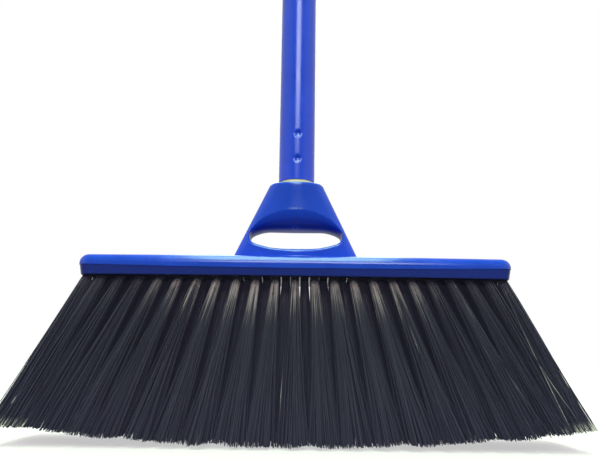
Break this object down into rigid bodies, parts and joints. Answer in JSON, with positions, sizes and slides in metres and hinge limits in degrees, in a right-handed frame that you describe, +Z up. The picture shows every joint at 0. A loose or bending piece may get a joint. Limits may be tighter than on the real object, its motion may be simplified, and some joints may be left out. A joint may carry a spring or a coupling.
{
  "type": "broom",
  "caption": "Household broom: a moulded head with a finger hole, fanned dark bristle tufts in drilled holes, and a coated steel handle that screws into the neck.",
  "frame": {"origin": "on the floor under the middle of the broom, where the lowest bristle tips stand and the handle's axis meets them", "axes": "+Z up the handle, +X along the block, -Y towards the viewer of the picture"},
  "size_m": [0.3308, 0.0608, 1.3893],
  "materials": {
    "blue_plastic": "smooth moulded polypropylene, glossy",
    "blue_film": "thin plastic film, glossy",
    "bristle": "charcoal synthetic filament with a slight sheen",
    "anchor_steel": "plain flat wire",
    "tube_steel": "plain cold-rolled strip",
    "yellow_plastic": "pale yellow moulded plastic",
    "cap_plastic": "smooth moulded plastic"
  },
  "bodies": {
    "head": {"broom_head": "blue_plastic", "tuft_column_01": "bristle", "tuft_column_02": "bristle", "tuft_column_03": "bristle", "tuft_column_04": "bristle", "tuft_column_05": "bristle", "tuft_column_06": "bristle", "tuft_column_07": "bristle", "tuft_column_08": "bristle", "tuft_column_09": "bristle", "tuft_column_10": "bristle", "tuft_column_11": "bristle", "tuft_column_12": "bristle", "tuft_column_13": "bristle", "tuft_column_14": "bristle", "tuft_column_15": "bristle", "tuft_column_16": "bristle", "tuft_column_17": "bristle", "tuft_column_18": "bristle", "tuft_column_19": "bristle", "tuft_column_20": "bristle", "tuft_column_21": "bristle", "tuft_column_22": "bristle", "tuft_column_23": "bristle", "tuft_anchors": "anchor_steel"},
    "cap": {"hanging_cap": "cap_plastic"},
    "handle": {"handle_tube": "tube_steel", "handle_film": "blue_film", "threaded_tip": "yellow_plastic"}
  },
  "joints": [
    {"name": "handle_lift", "type": "slide", "parent": "head", "child": "cap", "axis": [0, 0, 1], "range_m": [0, 0.019]},
    {"name": "handle_turn", "type": "hinge", "parent": "cap", "child": "handle", "pos_m": [0, 0, 0.1509], "axis": [0, 0, 1], "range_deg": [0, 1369]}
  ],
  "couplings": [
    {"joint": "handle_turn", "follows": "handle_lift", "rad_per_m": 1256.6}
  ]
}
